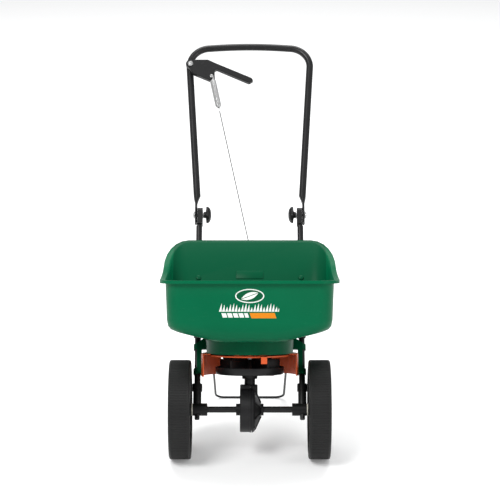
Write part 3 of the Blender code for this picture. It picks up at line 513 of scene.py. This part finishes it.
def knob(name, side):
    """The clamp knob: a domed head with gripping flutes, a neck and a metal washer."""
    inward = Matrix.Rotation(math.radians(-90 * side), 4, "Y")
    start = SADDLE_FACE_X - SADDLE_W - FIT
    spot = CHASSIS @ Matrix.Translation(Vector((side * start, 0, 0)) + LEANED @ Vector((0, 0, FOLD_REACH)))
    spot = spot @ LEANED @ inward
    profile = [
        (0.0, 0.0178), (0.0050, 0.0176), (0.0095, 0.0168), (0.0135, 0.0152), (0.0162, 0.0130),
        (0.0176, 0.0106), (0.0180, 0.0092), (0.0178, 0.0078), (0.0168, 0.0070), (0.0090, 0.0064),
        (0.0070, 0.0056), (0.0066, 0.0016), (0.0033, 0.0016), (0.0033, 0.0150), (0.0, 0.0150),
    ]
    shape = bmesh.new()
    made = closed_spin(shape, profile, 120)
    for vertex in made:
        reach = math.hypot(vertex.co.x, vertex.co.y)
        if reach > 0.0130:
            turn = math.atan2(vertex.co.y, vertex.co.x)
            keep = 1.0 - 0.035 * (0.5 - 0.5 * math.cos(turn * 12)) * min(1.0, (reach - 0.0130) / 0.003)
            vertex.co.x *= keep
            vertex.co.y *= keep
    bmesh.ops.transform(shape, matrix=spot, verts=shape.verts)
    obj = finished(f"{name}_fluted", shape, name, 40)
    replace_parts(obj, name)
    washer = bmesh.new()
    closed_spin(washer, [(0.0036, 0.0013), (0.0082, 0.0013), (0.0082, 0.0002), (0.0036, 0.0002)], 48, spot)
    plate = finished(f"{name}_washer", washer, name, 30, FINISHES["zinc"])


def bar_points():
    """The handle's centre line in its own plane, matching the frame's handle."""
    foot, top_x, corner, bow, length = HANDLE_FOOT_X, 0.1318, 0.0450, 0.0037, 0.4087
    half = [(foot, -0.0200), (foot, -0.0050), (foot, 0.0100), (foot - 0.0002, 0.0180),
            (foot - 0.0005, 0.0260), (foot - 0.0010, 0.0350), (foot - 0.0018, 0.0440)]
    top = length - bow
    bend = top - corner
    first = half[-1]
    for step in range(1, 12):
        share = step / 12
        half.append((first[0] + (top_x - first[0]) * share, first[1] + (bend - first[1]) * share))
    for step in range(17):
        turn = math.radians(90 * step / 16)
        half.append((top_x - corner + corner * math.cos(turn), bend + corner * math.sin(turn)))
    span = top_x - corner
    for step in range(1, 10):
        share = 1 - step / 10
        half.append((span * share, top + bow * (1 - share ** 2)))
    return half + [(0.0, length)] + [(-x, reach) for x, reach in reversed(half)]


def wire_bmesh(points, radius, resolution):
    """A round bar along the points, as a bmesh."""
    curve = bpy.data.curves.new("bar", "CURVE")
    curve.dimensions = "3D"
    curve.bevel_depth = radius
    curve.bevel_resolution = resolution
    curve.use_fill_caps = True
    spline = curve.splines.new("POLY")
    spline.points.add(len(points) - 1)
    for spot, point in zip(spline.points, points):
        spot.co = (*point, 1.0)
    obj = bpy.data.objects.new("bar", curve)
    bpy.context.scene.collection.objects.link(obj)
    bpy.context.view_layer.update()
    mesh = bpy.data.meshes.new_from_object(obj.evaluated_get(bpy.context.evaluated_depsgraph_get()))
    bpy.data.objects.remove(obj)
    shape = bmesh.new()
    shape.from_mesh(mesh)
    bmesh.ops.remove_doubles(shape, verts=shape.verts, dist=1e-6)
    return shape


def upper_handle():
    shape = wire_bmesh([(x, 0.0, reach) for x, reach in bar_points()], HANDLE_R, 6)
    for vertex in shape.verts:
        x, back, reach = vertex.co
        flat = max(0.0, min(1.0, (0.0440 - reach) / 0.0180))
        flat = flat * flat * (3 - 2 * flat)
        centre = math.copysign(HANDLE_FOOT_X, x)
        vertex.co.x = x + (x - centre) * (TAB_T / 2 / HANDLE_R - 1) * flat
        vertex.co.y = back * (1 + 0.22 * flat)
    bmesh.ops.transform(shape, matrix=on_frame(0, FOLD_REACH), verts=shape.verts)
    obj = finished("upper_handle_tube", shape, "upper_handle", 50)
    rounded(obj, 0.0006, 2, 60)
    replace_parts(obj, "upper_handle")


def buffer_spring():
    """Close-wound tension spring with tapered ends, a hook on the lever's bolt and a tail to the wire."""
    top, along = wire_line()
    spin = along.to_track_quat("Z", "Y").to_matrix().to_4x4()
    begin, length, wire, coil = 0.0110, 0.0660, 0.00095, 0.0059
    turns = 30
    points = []
    for step in range(15):
        turn = math.radians(200 - 180 * step / 14)
        points.append((0.0028 * math.cos(turn), 0.0, 0.0020 - 0.0028 * math.sin(turn)))
    points.append((0.0020, 0.0, begin - 0.0022))
    steps = turns * 16
    for index in range(steps + 1):
        turn = 2 * math.pi * index / 16
        taper = min(1.0, (index + 10) / 40, (steps - index + 10) / 40)
        height = begin + length * index / steps
        points.append((coil * taper * math.cos(turn), coil * taper * math.sin(turn), height))
    points.append((0.0, 0.0, begin + length + 0.0020))
    points.append((0.0, 0.0, begin + length + 0.0062))
    shape = wire_bmesh(points, wire, 2)
    bmesh.ops.transform(shape, matrix=Matrix.Translation(top) @ spin, verts=shape.verts)
    obj = finished("buffer_spring_coils", shape, "buffer_spring", 60)
    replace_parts(obj, "buffer_spring")


def wire_line():
    """The spring's top and its direction, down to the gate crank."""
    reach = LEVER_REACH + CLEVIS_DZ / math.cos(LEAN)
    forward = HANDLE_R + LEVER_GAP + LEVER_T + SPRING_OFFSET
    top = on_frame(LEVER_PIVOT_X + CLEVIS_DX, reach, -forward).translation
    hook = CHASSIS @ CRANK_HOOK
    return top, (hook - top).normalized()


def impeller_dish():
    low, rim, bore = DISH_Z, DISH_RIM, 0.0053
    profile = [
        (bore, 0.1020), (0.0084, 0.1020), (0.0090, 0.1012), (0.0128, low + 0.0040), (0.0150, low + 0.0028),
        (0.0630, low + 0.0028), (0.0652, low + 0.0036), (0.0668, low + 0.0060), (0.0679, low + rim - 0.0006),
        (0.0685, low + rim), (0.0694, low + rim), (0.0700, low + rim - 0.0008), (0.0696, low + 0.0060),
        (0.0686, low + 0.0022), (0.0668, low + 0.0004), (0.0650, low), (0.0162, low), (0.0158, low - 0.0006),
        (0.0156, 0.0632), (0.0152, 0.0628), (bore, 0.0628),
    ]
    shape = bmesh.new()
    closed_spin(shape, profile, 128)
    for index in range(5):
        turn = Matrix.Rotation(2 * math.pi * index / 5 + 0.3, 4, "Z")
        box_into(shape, (0.0530, 0.0022, 0.0290), turn @ at(0.0375, 0, low + 0.0155), 0.0005)
        slanted = turn @ Matrix.Rotation(0.6, 4, "Z") @ at(0.0200, 0, low + 0.0060)
        box_into(shape, (0.0180, 0.0014, 0.0080), slanted, 0.0004)
    bmesh.ops.transform(shape, matrix=CHASSIS, verts=shape.verts)
    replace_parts(finished("impeller_dish_moulded", shape, "impeller_dish", 35), "impeller_dish")


def gear_covers():
    """Rounded housing halves with a parting flange, ribs and recessed screws, over the plain half shells."""
    left = [
        (0.0120, -0.0078), (0.0116, -0.0080), (0.0067, -0.0080), (0.0067, 0.0022), (0.0440, 0.0022),
        (0.0440, 0.0150), (0.0425, 0.0150), (0.0425, 0.0242), (0.0429, 0.0242), (0.0430, 0.0229),
        (0.0464, 0.0229), (0.0465, 0.0200), (0.0458, 0.0198), (0.0458, 0.0016),
        (0.0450, 0.0004), (0.0440, 0.0), (0.0350, 0.0), (0.0340, 0.0009), (0.0290, 0.0009), (0.0280, 0.0),
        (0.0124, 0.0), (0.0120, -0.0004),
    ]
    shape = bmesh.new()
    closed_spin(shape, left[::-1], 96)
    box_into(shape, (0.0220, 0.0300, 0.0224), at(-0.0395, 0, 0.0116), 0.0012)
    bmesh.ops.transform(shape, matrix=CHASSIS @ at(COVER_LEFT_X, 0, 0) @ ALONG_X, verts=shape.verts)
    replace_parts(finished("gear_cover_left_moulded", shape, "gear_cover_left", 32), "gear_cover_left")
    right = [
        (0.0067, 0.0244), (0.0116, 0.0244), (0.0120, 0.0240), (0.0122, 0.0198), (0.0132, 0.0190),
        (0.0300, 0.0122), (0.0400, 0.0078), (0.0440, 0.0058), (0.0456, 0.0036), (0.0456, 0.0030),
        (0.0464, 0.0028),
        (0.0465, 0.0), (0.0443, 0.0), (0.0432, 0.0030), (0.0380, 0.0060), (0.0280, 0.0100), (0.0120, 0.0165),
        (0.0067, 0.0170),
    ]
    shape = bmesh.new()
    closed_spin(shape, right, 96)
    for index in range(8):
        turn = Matrix.Rotation(2 * math.pi * index / 8 + 0.39, 4, "Z")
        tipped = turn @ at(0.0290, 0, 0.0128) @ Matrix.Rotation(math.radians(24), 4, "Y")
        box_into(shape, (0.0300, 0.0016, 0.0030), tipped, 0.0004)
    box_into(shape, (0.0220, 0.0300, 0.0124), at(-0.0395, 0, 0.0062), 0.0012)
    bmesh.ops.transform(shape, matrix=CHASSIS @ at(COVER_SPLIT_X, 0, 0) @ ALONG_X, verts=shape.verts)
    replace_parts(finished("gear_cover_right_moulded", shape, "gear_cover_right", 32), "gear_cover_right")
    for index, (up, back) in enumerate(((0.030, 0.032), (0.030, -0.032), (-0.033, 0.028), (-0.033, -0.028))):
        screw = bmesh.new()
        closed_spin(screw, [(0.0, 0.0026), (0.0026, 0.0018), (0.0034, 0.0), (0.0, 0.0)], 24)
        spot = CHASSIS @ at(COVER_SPLIT_X + 0.0056, back, up) @ ALONG_X
        bmesh.ops.transform(screw, matrix=spot, verts=screw.verts)
        head = finished(f"housing_screw_{index + 1}", screw, "gear_cover_right", 30, FINISHES["black_steel"])


def hopper_pad():
    """A raised pad inside the back wall."""
    shape = bmesh.new()
    spot = on_frame(0, 0.2935, -0.0098)
    box_into(shape, (0.0570, 0.0034, 0.0180), spot, 0.0012)
    finished("hopper_back_pad", shape, "hopper", 35)


def plain_floor():
    """A wide, pale, matt studio floor."""
    shape = bmesh.new()
    bmesh.ops.create_grid(shape, x_segments=2, y_segments=2, size=12.0)
    mesh = bpy.data.meshes.new("studio_floor")
    shape.to_mesh(mesh)
    shape.free()
    floor = bpy.data.objects.new("studio_floor", mesh)
    bpy.context.scene.collection.objects.link(floor)
    finish = Finish("floor_paint", Roughness=0.75, Specular_IOR_Level=0.2, Emission_Strength=0.20)
    cloud = finish.noise(0.4, 2.0)
    tone = finish.mix(cloud, (0.80, 0.80, 0.80, 1.0), (0.83, 0.83, 0.83, 1.0))
    finish.feed(Base_Color=tone, Emission_Color=tone)
    floor.data.materials.append(finish.material)


def area_light(name, place, aim, size, power):
    data = bpy.data.lights.new(name, "AREA")
    data.shape = "RECTANGLE"
    data.size, data.size_y = size
    data.energy = power
    light = bpy.data.objects.new(name, data)
    light.location = place
    light.rotation_euler = (Vector(aim) - Vector(place)).to_track_quat("-Z", "Y").to_euler()
    bpy.context.scene.collection.objects.link(light)


def studio():
    world = bpy.data.worlds.new("studio")
    world.use_nodes = True
    world.node_tree.nodes["Background"].inputs[0].default_value = (0.95, 0.96, 0.97, 1.0)
    world.node_tree.nodes["Background"].inputs[1].default_value = 0.45
    bpy.context.scene.world = world
    bpy.context.scene.view_settings.view_transform = "Standard"
    area_light("key_light", (-2.4, -3.2, 4.2), (0, 0, 0.35), (2.2, 2.2), 230.0)
    area_light("fill_light", (3.2, -2.6, 2.2), (0, 0, 0.35), (2.4, 2.4), 70.0)
    area_light("top_light", (0.0, 2.4, 5.0), (0, 1.6, 0.0), (4.0, 4.0), 260.0)
    camera_data = bpy.data.cameras.new("studio_camera")
    camera = bpy.data.objects.new("studio_camera", camera_data)
    camera_data.lens = CAMERA_FOCUS * camera_data.sensor_width
    camera_data.clip_end = 60.0
    camera.matrix_world = CHASSIS @ at(*CAMERA_SPOT) @ Matrix.Rotation(math.radians(90), 4, "X")
    bpy.context.scene.collection.objects.link(camera)
    bpy.context.scene.camera = camera


def main():
    studio()
    plain_floor()
    for name, side in sides():
        wheel(f"wheel_{name}", side)
        hub_cap(f"hub_cap_{name}", side)
        knob(f"fold_knob_{name}", side)
    upper_handle()
    buffer_spring()
    impeller_dish()
    gear_covers()
    hopper_pad()
    done = {"wheel_left", "wheel_right", "hub_cap_left", "hub_cap_right", "fold_knob_left", "fold_knob_right",
            "upper_handle", "buffer_spring", "impeller_dish", "gear_cover_left", "gear_cover_right"}
    plain = {"drive_gear", "pinion", "control_wire", "hopper"}
    for node in frame["nodes"]:
        if node not in done:
            smoothed_copy(node, 0.0 if node in plain else EDGE_SOFTENING)


main()
